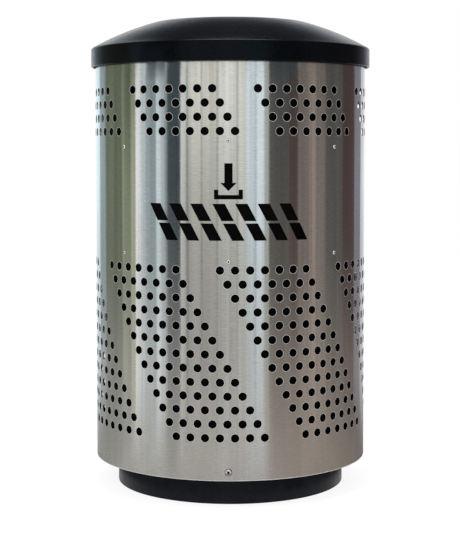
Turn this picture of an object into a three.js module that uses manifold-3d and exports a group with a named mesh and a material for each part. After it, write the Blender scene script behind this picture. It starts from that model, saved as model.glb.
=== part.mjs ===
// A round, perforated stainless-steel waste receptacle with a dome top.
// Millimetres, +Z up, origin on the floor under the centre, and the sign faces -Y.
//
// How it is built: a rolled stainless shell is bolted round the upturned flange of a black
// steel base pan, and the pan is bolted to a smaller rolled ring, the plinth, that stands on
// the floor. A black sheet riveted behind the sign closes its cut-outs. A rigid liner stands
// loose on the pan, and a spun steel dome with a round opening sits on the shell's top edge.

import * as THREE from 'three';
import { mergeVertices } from 'three/addons/utils/BufferGeometryUtils.js';
import Module from 'manifold-3d';

const wasm = await Module();
wasm.setup();

// ---------------------------------------------------------------- driving dimensions

const gap = 0.3; // between pieces that touch
const facets = 64; // flats round every rolled or spun piece, a multiple of four
const boltFlats = 12; // flats round a bolt, a rivet and their holes
const cutReach = 12; // how far a cut starts before the sheet that it goes through, and ends past it

const shell = { radius: 304.8, height: 914.4, sheet: 1.2, hemDepth: 13, bottom: 61 };
const plinth = { setBack: 48.8, sheet: 2, topFlange: 32, footFlange: 20 };
const pan = { sheet: 2, flange: 40, cornerRadius: 6, setBack: 2, drainRadius: 6, drainCircle: 120 };
const lid = {
  bandPlay: 8, // from the shell to the inside of the rim band
  sheet: 1.5,
  domeRadius: 636, // radius of the sphere that the dome is part of
  shoulderRadius: 6, // rounded edge between band and dome
  overlap: 40, // how far the band reaches down over the shell
  bandHem: 11,
  crownRadius: 85, // the round turn from the dome over its top to the opening
  crownCircle: 153, // radius of the circle along which the crown is highest
  openingRadius: 127, // clear radius of the throw-in opening
  lipRadius: 8, // bend from the crown into the opening's collar
  collar: 26, // how far the collar reaches down
};
const seatRing = { sheet: 2, leg: 24, play: 1.2 };
const liner = {
  below: 70, // from the shell's top edge down to the liner's
  rimPlay: 9.4, // from the shell's hem to the liner's rim
  rimReach: 6, rimDrop: 15, rimWall: 3, taper: 6, wall: 3.5, floor: 4,
  footWidth: 18, footRise: 8, footCorner: 4,
};
const panel = { sheet: 1, margin: 8, sideMargin: 2.7 }; // past the rivets, in millimetres and degrees
const rivet = { headRadius: 3.95, headHeight: 1.3, shankRadius: 2, tailRadius: 2.9, tailLength: 3 };
const rivetSeats = { sideAngle: 47.3, sideHeights: [532.6, 758.3], frontHeights: [520.5, 771.1] };
const shellBolt = {
  count: 3, above: 18.7, // height above the shell's lower edge
  headRadius: 7.15, headHeight: 3.6, shankRadius: 3.2, nutFlats: 11.1, nutHeight: 5.6, overrun: 2,
};
const plinthBolt = {
  count: 4, firstAngle: 45,
  headRadius: 9, headHeight: 4, shankRadius: 4, nutFlats: 13, nutHeight: 6.5, overrun: 2.5,
};
const sign = {
  bars: 7, barWidth: 26, barPitch: 47, barLean: 41, bridge: 5, bottom: 564.2, height: 76.6,
  icon: { bottom: 650, height: 74.5, width: 60, stem: 17, head: 34, trayWall: 9, trayRise: 20, air: 8 },
};

// ---------------------------------------------------------------- worked out from those

const shellTop = shell.bottom + shell.height;
const shellInside = shell.radius - shell.sheet;
const panUnder = shell.bottom + pan.setBack;
const panFloor = panUnder + pan.sheet;
const panRadius = shellInside - gap;
const flangeInside = panRadius - pan.sheet;
const linerBase = panFloor + gap;
const linerTop = shellTop - liner.below;
const hemInside = shellInside - shell.sheet;
const linerRim = hemInside - liner.rimPlay;
const linerTopRadius = linerRim - liner.rimReach;
const linerBottomRadius = linerTopRadius - liner.taper;
const bandInside = shell.radius + lid.bandPlay;
const bandRadius = bandInside + lid.sheet;
const bandBottom = shellTop - lid.overlap;
const seatUnder = shellTop + gap;
const seatTop = seatUnder + seatRing.sheet;
const plinthTop = panUnder - gap;
const plinthRadius = shell.radius - plinth.setBack;
const plinthBoltCircle = plinthRadius - plinth.sheet - plinth.topFlange / 2;
const panelOutside = shellInside - gap;
const panelInside = panelOutside - panel.sheet;
const flatAngle = 180 / facets; // half the angle that one flat spans, in degrees

// The band ends where the rounded shoulder starts, so that the shoulder rests on the seat ring.
const shoulderStart = seatTop + gap - (lid.shoulderRadius - lid.sheet);
const shoulderCentre = new THREE.Vector2(bandRadius - lid.shoulderRadius, shoulderStart);
const domeCentreHeight =
  shoulderStart - Math.sqrt((lid.domeRadius - lid.shoulderRadius) ** 2 - shoulderCentre.x ** 2);

const steel = new THREE.MeshStandardMaterial({ color: 0xc9c7c2, roughness: 0.32, metalness: 1 });
const blackCoat = new THREE.MeshStandardMaterial({ color: 0x0b0c0e, roughness: 0.45, metalness: 0 });
const blackBase = new THREE.MeshStandardMaterial({ color: 0x15171c, roughness: 0.55, metalness: 0 });
const zinc = new THREE.MeshStandardMaterial({ color: 0xb9bcc0, roughness: 0.35, metalness: 1 });
const blackPlastic = new THREE.MeshStandardMaterial({ color: 0x101113, roughness: 0.6, metalness: 0 });

// ---------------------------------------------------------------- solids and profiles

/** A closed geometry as a manifold solid, with its shared vertices merged. */
function solidOf(geometry) {
  const bare = new THREE.BufferGeometry();
  bare.setAttribute('position', geometry.getAttribute('position'));
  if (geometry.index) bare.setIndex(geometry.index);
  const merged = mergeVertices(bare, 1e-3);
  const mesh = new wasm.Mesh({
    numProp: 3,
    vertProperties: merged.attributes.position.array,
    triVerts: new Uint32Array(merged.index.array),
  });
  return new wasm.Manifold(mesh);
}

/** The triangles of a manifold solid as a geometry. */
function geometryOf(solid) {
  const mesh = solid.getMesh();
  const geometry = new THREE.BufferGeometry();
  geometry.setAttribute('position', new THREE.BufferAttribute(mesh.vertProperties, 3));
  geometry.setIndex(new THREE.BufferAttribute(mesh.triVerts, 1));
  const flat = geometry.toNonIndexed();
  flat.computeVertexNormals();
  return flat;
}

/** base with each of the cutters taken away. */
function cut(base, cutters) {
  let solid = solidOf(base);
  for (const cutter of cutters) solid = solid.subtract(solidOf(cutter));
  return geometryOf(solid);
}

/** Points on an arc in the profile plane, angles in degrees from the outward direction. */
function arc(centre, radius, from, to, steps) {
  return Array.from({ length: steps + 1 }, (_, i) => {
    const a = THREE.MathUtils.degToRad(from + ((to - from) * i) / steps);
    return new THREE.Vector2(centre.x + radius * Math.cos(a), centre.y + radius * Math.sin(a));
  });
}

/** Points [radius, height] as vectors. */
const points = (pairs) => pairs.map(([r, z]) => new THREE.Vector2(r, z));

/** The outline of a bent sheet whose outer face follows line and whose metal lies to its right. */
function bentSheet(line, thickness) {
  const inner = line.map((p, i) => {
    const before = line[Math.max(i - 1, 0)];
    const after = line[Math.min(i + 1, line.length - 1)];
    const a = p.clone().sub(before).normalize();
    const b = after.clone().sub(p).normalize();
    const along = a.clone().add(b).normalize();
    const turn = Math.max(along.dot(a.lengthSq() ? a : b), 0.5);
    return new THREE.Vector2(p.x + (along.y * thickness) / turn, p.y - (along.x * thickness) / turn);
  });
  return [...line, ...inner.reverse()];
}

/** A profile of [radius, height] points turned about Z. It closes itself away from the axis. */
function turned(profile, sides = facets) {
  const last = profile[profile.length - 1];
  const onAxis = profile[0].x === 0 && last.x === 0;
  const outline = onAxis ? [...profile] : [...profile, profile[0].clone()];
  let area = 0;
  outline.forEach((p, i) => {
    const q = outline[(i + 1) % outline.length];
    area += p.x * q.y - q.x * p.y;
  });
  if (area < 0) outline.reverse();
  return new THREE.LatheGeometry(outline, sides).rotateX(Math.PI / 2);
}

/** A rod along +Z from low to high, with boltFlats sides. */
function rod(radius, low, high, sides = boltFlats) {
  return new THREE.CylinderGeometry(radius, radius, high - low, sides)
    .rotateX(Math.PI / 2)
    .translate(0, 0, (low + high) / 2);
}

/** The radius of a turned piece's flats at an angle from the front, its corners being at radius. */
function flatAt(radius, degrees) {
  const fromCorner = ((degrees % (2 * flatAngle)) + 2 * flatAngle) % (2 * flatAngle);
  const { degToRad } = THREE.MathUtils;
  return (radius * Math.cos(degToRad(flatAngle))) / Math.cos(degToRad(fromCorner - flatAngle));
}

/** Where a head's flat face lies on the outside of a turned sheet. */
const outsideSeat = (radius, degrees) => flatAt(radius, degrees) + gap;

/** Where the flat face of a nut or a rivet's tail, this far across from its middle, lies inside one. */
function insideSeat(radius, degrees, reach) {
  return flatAt(radius, degrees) - reach * Math.tan(THREE.MathUtils.degToRad(flatAngle)) - gap;
}

/** Moves a geometry that points along +Z so that it points outwards at an angle from the front. */
function facing(geometry, degrees, radius, height) {
  return geometry
    .rotateX(Math.PI / 2)
    .translate(0, -radius, height)
    .rotateZ(THREE.MathUtils.degToRad(degrees));
}

/** A flat outline, x across and y up, pushed radially through the shell at an angle from the front. */
function throughShell(outline, degrees) {
  return new THREE.ExtrudeGeometry(new THREE.Shape(outline), { depth: 2 * cutReach, bevelEnabled: false })
    .rotateX(Math.PI / 2)
    .translate(0, cutReach - shell.radius, 0)
    .rotateZ(THREE.MathUtils.degToRad(degrees));
}

const root = new THREE.Group();

function add(name, geometry, material, parent = root) {
  const mesh = new THREE.Mesh(geometry, material);
  mesh.name = name;
  parent.add(mesh);
  return mesh;
}

// ---------------------------------------------------------------- fasteners

/** A domed head of this height and radius, its flat face on z = 0. */
function domedHead(radius, height) {
  const rings = 3;
  const profile = [new THREE.Vector2(0, 0)];
  for (let i = 0; i <= rings; i++) {
    const a = (Math.PI / 2) * (i / rings);
    const reach = i === rings ? 0 : radius * Math.cos(a);
    profile.push(new THREE.Vector2(reach, height * (0.25 + 0.75 * Math.sin(a))));
  }
  profile.splice(1, 0, new THREE.Vector2(radius, 0));
  return turned(profile, boltFlats);
}

/** A bolt along -Z under a domed head, reaching to -length. */
function bolt({ headRadius, headHeight, shankRadius }, length) {
  return geometryOf(
    solidOf(domedHead(headRadius, headHeight)).add(solidOf(rod(shankRadius, -length, headHeight / 4))),
  );
}

/** From a hexagon nut's middle to its corners. */
const nutCorner = ({ nutFlats }) => nutFlats / 2 / Math.cos(Math.PI / 6);

/** A hexagon nut from z = 0 down, with a bore that clears the shank. */
function nut(size) {
  const { nutHeight, shankRadius } = size;
  const bore = rod(shankRadius + gap, -nutHeight - 1, 1);
  return cut(rod(nutCorner(size), -nutHeight, 0, 6), [bore]);
}

/** A blind rivet with its head's flat face on z = 0 and its tail's a grip below. */
function blindRivet(grip) {
  const { headRadius, headHeight, shankRadius, tailRadius, tailLength } = rivet;
  const tail = rod(tailRadius, -grip - tailLength, -grip);
  return geometryOf(
    solidOf(domedHead(headRadius, headHeight))
      .add(solidOf(rod(shankRadius, -grip - tailLength / 2, headHeight / 4)))
      .add(solidOf(tail)),
  );
}

// ---------------------------------------------------------------- where the fasteners are

const shellBoltHeight = shell.bottom + shellBolt.above;
const shellBoltAngles = Array.from({ length: shellBolt.count }, (_, i) => (360 / shellBolt.count) * i);
const plinthBoltAngles = Array.from(
  { length: plinthBolt.count },
  (_, i) => plinthBolt.firstAngle + (360 / plinthBolt.count) * i,
);
const rivetPlaces = [
  ...rivetSeats.sideHeights.map((height) => [-rivetSeats.sideAngle, height]),
  ...rivetSeats.frontHeights.map((height) => [0, height]),
  ...rivetSeats.sideHeights.map((height) => [rivetSeats.sideAngle, height]),
];

/** Radial holes for the rivets, with the clearance that each shank has. */
const rivetHoles = () =>
  rivetPlaces.map(([angle, height]) =>
    facing(rod(rivet.shankRadius + gap, -cutReach, cutReach), angle, shell.radius, height),
  );

/** Radial holes for the bolts that hold the shell to the pan. */
const shellBoltHoles = () =>
  shellBoltAngles.map((angle) =>
    facing(rod(shellBolt.shankRadius + gap, -cutReach, cutReach), angle, shell.radius, shellBoltHeight),
  );

/** Upright holes for the bolts that hold the pan to the plinth. */
const plinthBoltHoles = () =>
  plinthBoltAngles.map((angle) =>
    rod(plinthBolt.shankRadius + gap, plinthTop - cutReach, panFloor + cutReach)
      .translate(0, -plinthBoltCircle, 0)
      .rotateZ(THREE.MathUtils.degToRad(angle)),
  );

// ---------------------------------------------------------------- the sign's cut-outs

/** A row of leaning bars, each parted by a bridge of steel, and a down arrow over a tray. */
function signCuts() {
  const perMillimetre = 180 / Math.PI / shell.radius;
  const { bars, barWidth, barPitch, barLean, bridge, bottom, height, icon } = sign;
  const half = (height - bridge) / 2;
  const cuts = [];
  for (let i = 0; i < bars; i++) {
    const centre = (i - (bars - 1) / 2) * barPitch;
    for (const low of [0, half + bridge]) {
      const leanAt = (z) => barLean * (0.5 - z / height);
      const corner = (side, z) => new THREE.Vector2(leanAt(z) + (side * barWidth) / 2, bottom + z);
      const outline = [corner(-1, low), corner(1, low), corner(1, low + half), corner(-1, low + half)];
      cuts.push(throughShell(outline, centre * perMillimetre));
    }
  }
  const top = icon.bottom + icon.height;
  const point = icon.bottom + icon.trayWall + icon.air;
  const wing = point + icon.head / 2;
  const arrow = points([
    [0, point], [icon.head / 2, wing], [icon.stem / 2, wing], [icon.stem / 2, top],
    [-icon.stem / 2, top], [-icon.stem / 2, wing], [-icon.head / 2, wing],
  ]);
  const side = icon.width / 2;
  const inner = side - icon.trayWall;
  const trayTop = icon.bottom + icon.trayRise;
  const trayFloor = icon.bottom + icon.trayWall;
  const tray = points([
    [-side, icon.bottom], [side, icon.bottom], [side, trayTop], [inner, trayTop],
    [inner, trayFloor], [-inner, trayFloor], [-inner, trayTop], [-side, trayTop],
  ]);
  cuts.push(throughShell(arrow, 0), throughShell(tray, 0));
  return cuts;
}

// ---------------------------------------------------------------- shell and sign panel

function outerShell() {
  const profile = points([
    [shell.radius, shell.bottom], [shell.radius, shellTop], [hemInside, shellTop],
    [hemInside, shellTop - shell.hemDepth], [shellInside, shellTop - shell.hemDepth],
    [shellInside, shell.bottom],
  ]);
  return cut(turned(profile), [...signCuts(), ...rivetHoles(), ...shellBoltHoles()]);
}

function signPanel() {
  const heights = rivetPlaces.map(([, height]) => height);
  const bottom = Math.min(...heights) - panel.margin;
  const top = Math.max(...heights) + panel.margin;
  const ring = turned(points([
    [panelInside, bottom], [panelOutside, bottom], [panelOutside, top], [panelInside, top],
  ]));
  const reach = shell.radius * 1.5; // well outside the shell
  const side = reach * Math.tan(THREE.MathUtils.degToRad(rivetSeats.sideAngle + panel.sideMargin));
  const wedge = new THREE.ExtrudeGeometry(
    new THREE.Shape(points([[0, 0], [-side, -reach], [side, -reach]])),
    { depth: shellTop, bevelEnabled: false },
  );
  return cut(geometryOf(solidOf(ring).intersect(solidOf(wedge))), rivetHoles());
}

add('outer_shell', outerShell(), steel);
add('sign_panel', signPanel(), blackCoat);
rivetPlaces.forEach(([angle, height], i) => {
  const head = outsideSeat(shell.radius, angle);
  const tail = insideSeat(panelInside, angle, rivet.tailRadius);
  add(`sign_rivet_${i + 1}`, facing(blindRivet(head - tail), angle, head, height), zinc);
});

// ---------------------------------------------------------------- base pan and plinth

function basePan() {
  const bend = pan.cornerRadius;
  const corner = new THREE.Vector2(panRadius - bend, panUnder + bend);
  const outer = [
    new THREE.Vector2(0, panUnder),
    ...arc(corner, bend, -90, 0, 3),
    new THREE.Vector2(panRadius, panUnder + pan.flange),
  ];
  const inner = [
    new THREE.Vector2(flangeInside, panUnder + pan.flange),
    ...arc(corner, bend - pan.sheet, 0, -90, 3),
    new THREE.Vector2(0, panFloor),
  ];
  const drains = [0, 90, 180, 270].map((angle) =>
    rod(pan.drainRadius, panUnder - cutReach, panFloor + cutReach)
      .translate(pan.drainCircle, 0, 0)
      .rotateZ(THREE.MathUtils.degToRad(angle)),
  );
  return cut(turned([...outer, ...inner]), [...shellBoltHoles(), ...plinthBoltHoles(), ...drains]);
}

function plinthRing() {
  const { sheet, topFlange, footFlange } = plinth;
  const wallInside = plinthRadius - sheet;
  const profile = points([
    [plinthRadius, 0], [plinthRadius, plinthTop], [wallInside - topFlange, plinthTop],
    [wallInside - topFlange, plinthTop - sheet], [wallInside, plinthTop - sheet],
    [wallInside, sheet], [wallInside - footFlange, sheet], [wallInside - footFlange, 0],
  ]);
  return cut(turned(profile), plinthBoltHoles());
}

add('base_pan', basePan(), blackBase);
add('plinth_ring', plinthRing(), blackBase);

shellBoltAngles.forEach((angle, i) => {
  const head = outsideSeat(shell.radius, angle);
  const nutFace = insideSeat(flangeInside, angle, nutCorner(shellBolt));
  const length = head - nutFace + shellBolt.nutHeight + shellBolt.overrun;
  add(`shell_bolt_${i + 1}`, facing(bolt(shellBolt, length), angle, head, shellBoltHeight), steel);
  add(`shell_nut_${i + 1}`, facing(nut(shellBolt), angle, nutFace, shellBoltHeight), zinc);
});

plinthBoltAngles.forEach((angle, i) => {
  const head = panFloor + gap;
  const grip = pan.sheet + plinth.sheet + 3 * gap;
  const length = grip + plinthBolt.nutHeight + plinthBolt.overrun;
  const place = (geometry, height) =>
    geometry.translate(0, -plinthBoltCircle, height).rotateZ(THREE.MathUtils.degToRad(angle));
  add(`plinth_bolt_${i + 1}`, place(bolt(plinthBolt, length), head), zinc);
  add(`plinth_nut_${i + 1}`, place(nut(plinthBolt), head - grip), zinc);
});

// ---------------------------------------------------------------- liner

function rigidLiner() {
  const { wall, floor, footWidth, footRise, footCorner, rimDrop, rimWall } = liner;
  const footInside = linerBottomRadius - footWidth;
  const floorTop = linerBase + footRise + floor;
  const outer = points([
    [0, linerBase + footRise], [footInside - footRise, linerBase + footRise], [footInside, linerBase],
    [linerBottomRadius - footCorner, linerBase], [linerBottomRadius, linerBase + footCorner],
    [linerTopRadius, linerTop - rimWall], [linerRim - rimWall, linerTop - rimWall],
    [linerRim - rimWall, linerTop - rimDrop], [linerRim, linerTop - rimDrop], [linerRim, linerTop],
  ]);
  const inner = points([
    [linerTopRadius - wall, linerTop], [linerBottomRadius - wall, floorTop + floor],
    [linerBottomRadius - wall - floor, floorTop], [0, floorTop],
  ]);
  return turned([...outer, ...inner]);
}

add('liner', rigidLiner(), blackPlastic);

// ---------------------------------------------------------------- dome top

function domeTop() {
  const { domeRadius, crownRadius, crownCircle, lipRadius, openingRadius, shoulderRadius } = lid;
  const domeCentre = new THREE.Vector2(0, domeCentreHeight);
  const crownCentre = new THREE.Vector2(
    crownCircle,
    domeCentreHeight + Math.sqrt((domeRadius - crownRadius) ** 2 - crownCircle ** 2),
  );
  const lipCentreRadius = openingRadius + lipRadius;
  const lipRise = Math.sqrt((crownRadius - lipRadius) ** 2 - (crownCircle - lipCentreRadius) ** 2);
  const lipCentre = new THREE.Vector2(lipCentreRadius, crownCentre.y + lipRise);
  const angleOf = (p, centre) => THREE.MathUtils.radToDeg(p.clone().sub(centre).angle());
  const lipAngle = angleOf(lipCentre, crownCentre);
  const crownAngle = angleOf(crownCentre, domeCentre);
  const shoulderAngle = angleOf(shoulderCentre, domeCentre);
  const outside = [
    new THREE.Vector2(openingRadius, lipCentre.y - lid.collar),
    ...arc(lipCentre, lipRadius, 180, lipAngle, 3),
    ...arc(crownCentre, crownRadius, lipAngle, crownAngle, 3).slice(1),
    ...arc(domeCentre, domeRadius, crownAngle, shoulderAngle, 4).slice(1, -1),
    ...arc(shoulderCentre, shoulderRadius, shoulderAngle, 0, 3),
    new THREE.Vector2(bandRadius, bandBottom),
  ];
  const sheet = bentSheet(outside, lid.sheet);
  const hemWall = lid.sheet;
  const hem = points([
    [bandInside - hemWall, bandBottom], [bandInside - hemWall, bandBottom + lid.bandHem],
    [bandInside, bandBottom + lid.bandHem],
  ]);
  return turned([...sheet.slice(0, outside.length), ...hem, ...sheet.slice(outside.length + 1)]);
}

function lidSeatRing() {
  const legOutside = hemInside - seatRing.play;
  const legInside = legOutside - seatRing.sheet;
  const flangeOutside = shoulderCentre.x;
  return turned(points([
    [legInside, seatUnder - seatRing.leg], [legOutside, seatUnder - seatRing.leg],
    [legOutside, seatUnder], [flangeOutside, seatUnder], [flangeOutside, seatTop], [legInside, seatTop],
  ]));
}

const lidGroup = new THREE.Group();
root.add(lidGroup);
add('dome_top', domeTop(), blackCoat, lidGroup);
add('lid_seat_ring', lidSeatRing(), blackCoat, lidGroup);

export default root;
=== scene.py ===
"""The looks of a round, perforated stainless-steel waste receptacle with a dome top.

Metres, +Z up, and the sign faces -Y. Angles round the shell are counted from the front towards +X.
"""

import math

import bmesh
import bpy
from mathutils import Matrix, Vector
from mathutils.geometry import delaunay_2d_cdt

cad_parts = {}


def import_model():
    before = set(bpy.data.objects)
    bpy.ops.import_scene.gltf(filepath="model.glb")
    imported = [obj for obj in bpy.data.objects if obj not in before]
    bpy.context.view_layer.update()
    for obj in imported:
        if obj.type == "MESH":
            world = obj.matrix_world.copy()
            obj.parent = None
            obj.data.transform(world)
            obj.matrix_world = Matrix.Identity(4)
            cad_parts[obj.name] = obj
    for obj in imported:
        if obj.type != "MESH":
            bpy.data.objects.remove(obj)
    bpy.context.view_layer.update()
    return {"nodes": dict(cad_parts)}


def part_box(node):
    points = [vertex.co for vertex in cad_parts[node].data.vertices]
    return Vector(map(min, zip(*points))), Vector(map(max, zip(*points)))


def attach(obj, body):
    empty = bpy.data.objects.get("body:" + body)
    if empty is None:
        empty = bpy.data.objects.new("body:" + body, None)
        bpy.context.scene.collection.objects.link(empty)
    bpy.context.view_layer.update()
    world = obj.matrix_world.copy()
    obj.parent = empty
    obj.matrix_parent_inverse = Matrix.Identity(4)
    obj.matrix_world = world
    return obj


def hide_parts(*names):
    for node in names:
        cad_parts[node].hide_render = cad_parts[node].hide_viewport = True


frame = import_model()

TAU = 2 * math.pi
QUARTER = math.pi / 2
MM = 0.001

# ---------------------------------------------------------------- places from the frame


def low(node):
    """The lowest corner of a CAD node's box."""
    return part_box(node)[0]


def high(node):
    """The highest corner of a CAD node's box."""
    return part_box(node)[1]


def place_of(node):
    """The angle and height of the middle of a CAD node."""
    (ax, ay, az), (bx, by, bz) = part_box(node)
    return math.atan2(ax + bx, -(ay + by)), (az + bz) / 2


SHELL_RADIUS = high("outer_shell")[0]
SHELL_BOTTOM = low("outer_shell")[2]
SHELL_TOP = high("outer_shell")[2]
RIVETS = sorted(name for name in frame["nodes"] if name.startswith("sign_rivet"))
SHELL_BOLTS = sorted(name for name in frame["nodes"] if name.startswith("shell_bolt"))

# ---------------------------------------------------------------- sizes of the shell's details

SHEET = 1.2 * MM
HEM_DEPTH = 13 * MM
FOOT_ROLL = 1.0 * MM  # radius of the lower edge, which is rolled bright as far up as FOOT_EDGE
FOOT_EDGE = 1.8 * MM

HOLE_RADIUS = 7.93 * MM
ROLL_WIDTH = 1.7 * MM  # the punch rolls each hole's edge over this width
ROLL_DEPTH = 0.3 * MM
ROLL_TURNS = (0.0, 0.24, 1.0)  # how far the edge has turned at its rings, in quarter turns
PITCH = 0.1035  # between the holes of a row, in radians
ROW = 29.26 * MM  # between rows, each of which is shifted half a pitch to the right
SKEW = -0.065 * PITCH  # from the sign's middle to the pattern's
STEPS = 6  # columns in a pitch and steps in a row, so a hole has four times as many sides
HALF = STEPS // 2  # from a hole's middle to its square's edge, in columns or steps
STEP = ROW / STEPS
GROUP_HOLES = 7
LOWER_BAND = {"top": 502.5 * MM, "rows": 13, "starts": (-28, -19, -10, -1, 8, 17), "offset": 0.5}
UPPER_BAND = {"top": 878.6 * MM, "rows": 4, "starts": (-25, -16, -7, 2, 11, 20), "offset": 0}
EDGE_PITCH = 30  # the pattern's outermost columns, in pitches each way from the front
SEAM_COLUMNS = 4  # columns in the plain strip at the back

RIVET_HOLE = 2.3 * MM
BOLT_HOLE = 3.5 * MM
ROUND_CUT_SIDES = 16

# The sign: a row of leaning bars, each parted by a bridge of steel, and an arrow over a tray.
BARS = 7
BAR = {"width": 26 * MM, "pitch": 47 * MM, "lean": 41 * MM, "bridge": 5 * MM}
BAR_BOTTOM = 564.2 * MM
BAR_HEIGHT = 76.6 * MM
ICON = {
    "bottom": 650 * MM, "height": 74.5 * MM, "width": 60 * MM, "stem": 17 * MM, "head": 34 * MM,
    "tray_wall": 9 * MM, "tray_rise": 20 * MM, "air": 8 * MM,
}

# ---------------------------------------------------------------- small helpers


def outward(angle):
    """The unit direction away from the axis at an angle from the front."""
    return Vector((math.sin(angle), -math.cos(angle), 0))


def around(angle):
    """The unit direction of growing angle."""
    return Vector((math.cos(angle), math.sin(angle), 0))


def arc(middle, radius, start, end, steps):
    """Points on an arc in a profile's plane, its angles in degrees from the first coordinate's."""
    found = []
    for i in range(steps + 1):
        a = math.radians(start + (end - start) * i / steps)
        found.append((middle[0] + radius * math.cos(a), middle[1] + radius * math.sin(a)))
    return found


def inside(point, outline):
    """Whether a point lies in a polygon, both flat."""
    x, y = point
    hit = False
    for (ax, ay), (bx, by) in zip(outline, outline[1:] + outline[:1]):
        if (ay > y) != (by > y) and x < ax + (y - ay) * (bx - ax) / (by - ay):
            hit = not hit
    return hit


def new_object(name, data):
    """A new object in the scene."""
    made = bpy.data.objects.new(name, data)
    bpy.context.scene.collection.objects.link(made)
    return made


def add_mesh(name, mesh, materials, stands_for, body="receptacle"):
    """A new piece that stands for CAD nodes and rides on a body."""
    piece = new_object(name, mesh)
    for material in materials:
        mesh.materials.append(material)
    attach(piece, body)
    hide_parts(*stands_for)


# ---------------------------------------------------------------- materials


class Nodes:
    """A material's or the world's nodes, made and linked in one call each."""

    def __init__(self, tree):
        self.tree = tree
        self.tree.nodes.clear()

    def fill(self, node, values):
        """Sets a node's inputs to values, or links them where a value is a socket."""
        for key, value in values.items():
            if isinstance(value, bpy.types.NodeSocket):
                self.tree.links.new(value, node.inputs[key])
            else:
                node.inputs[key].default_value = value

    def add(self, kind, values=None, **settings):
        """A node with these settings and inputs."""
        node = self.tree.nodes.new(kind)
        for key, value in settings.items():
            setattr(node, key, value)
        self.fill(node, values or {})
        return node

    def math(self, operation, a, b):
        return self.add("ShaderNodeMath", {0: a, 1: b}, operation=operation).outputs[0]

    def noise(self, vector, scale, detail, roughness=0.5):
        values = {"Vector": vector, "Scale": scale, "Detail": detail, "Roughness": roughness}
        return self.add("ShaderNodeTexNoise", values).outputs["Fac"]

    def remap(self, value, low_to, high_to, low_from=0.3, high_from=0.7):
        """A value moved to another range. Most of a noise lies between 0.3 and 0.7."""
        values = {0: value, 1: low_from, 2: high_from, 3: low_to, 4: high_to}
        return self.add("ShaderNodeMapRange", values).outputs[0]

    def tint(self, value, dark, light, low_from=0.3, high_from=0.7):
        """A colour between two, by where a value lies in a range."""
        factor = self.remap(value, 0, 1, low_from, high_from)
        values = {0: factor, 6: (*dark, 1), 7: (*light, 1)}
        return self.add("ShaderNodeMix", values, data_type="RGBA").outputs[2]

    def bump(self, height, strength, distance):
        values = {"Strength": strength, "Distance": distance, "Height": height}
        return self.add("ShaderNodeBump", values).outputs[0]


def empty_material(name):
    """A material and its nodes, of which there are none yet."""
    material = bpy.data.materials.new(name)
    material.use_nodes = True
    return material, Nodes(material.node_tree)


def new_material(name):
    """A material, its nodes, its object coordinates and its shader, linked to the output."""
    material, nodes = empty_material(name)
    place = nodes.add("ShaderNodeTexCoord").outputs["Object"]
    shader = nodes.add("ShaderNodeBsdfPrincipled")
    nodes.add("ShaderNodeOutputMaterial", {"Surface": shader.outputs[0]})
    return material, nodes, place, shader


def unrolled(nodes, place):
    """Coordinates on the flat sheet before it was rolled: metres round the shell, 0, height."""
    split = nodes.add("ShaderNodeSeparateXYZ", {0: place})
    back = nodes.math("MULTIPLY", split.outputs["Y"], -1.0)
    angle = nodes.math("ARCTAN2", split.outputs["X"], back)
    run = nodes.math("MULTIPLY", angle, SHELL_RADIUS)
    return nodes.add("ShaderNodeCombineXYZ", {"X": run, "Z": split.outputs["Z"]}).outputs[0]


def stretched(nodes, vector, along, across, detail, roughness):
    """A noise on the flat sheet whose features are this long and this high, in metres."""
    scale = (1 / along, 1.0, 1 / across)
    mapped = nodes.add("ShaderNodeMapping", {"Vector": vector, "Scale": scale}).outputs[0]
    return nodes.noise(mapped, 1.0, detail, roughness)


def brushed_steel():
    """Stainless sheet, brushed round the shell: hairlines, longer strands and faint smudges."""
    material, nodes, place, shader = new_material("brushed_steel")
    flat = unrolled(nodes, place)
    hairs = stretched(nodes, flat, 16 * MM, 1.2 * MM, 3.0, 0.6)
    strands = stretched(nodes, flat, 50 * MM, 2.4 * MM, 2.0, 0.5)
    streaks = stretched(nodes, flat, 300 * MM, 5 * MM, 2.0, 0.5)
    grain = 0.0
    for lines, weight in ((hairs, 0.72), (strands, 0.14), (streaks, 0.08)):
        grain = nodes.math("ADD", grain, nodes.math("MULTIPLY", lines, weight))
    grain_range = (0.36, 0.64)
    smudges = nodes.noise(place, 9.0, 4.0, 0.55)
    brushing = nodes.remap(grain, 0.14, 0.18, *grain_range)
    handling = nodes.remap(smudges, -0.01, 0.02, 0.35)
    nodes.fill(shader, {
        "Base Color": nodes.tint(grain, (0.57, 0.56, 0.54), (0.70, 0.69, 0.67), *grain_range),
        "Roughness": nodes.math("ADD", brushing, handling),
        "Normal": nodes.bump(hairs, 0.06, 0.03 * MM),
        "Tangent": nodes.add("ShaderNodeTangent", direction_type="RADIAL", axis="Z").outputs[0],
        "Metallic": 1.0,
        "Anisotropic": 1.0,
        "Anisotropic Rotation": 0.25,
    })
    return material


def bare_metal(name, dark, light, smooth, rough, metallic=1.0):
    """Bare metal, faintly marked, between two colours and two roughnesses."""
    material, nodes, place, shader = new_material(name)
    marks = nodes.noise(place, 900.0, 3.0)
    nodes.fill(shader, {
        "Base Color": nodes.tint(marks, dark, light),
        "Roughness": nodes.remap(marks, smooth, rough),
        "Normal": nodes.bump(marks, 0.1, 0.02 * MM),
        "Metallic": metallic,
    })
    return material


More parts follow.
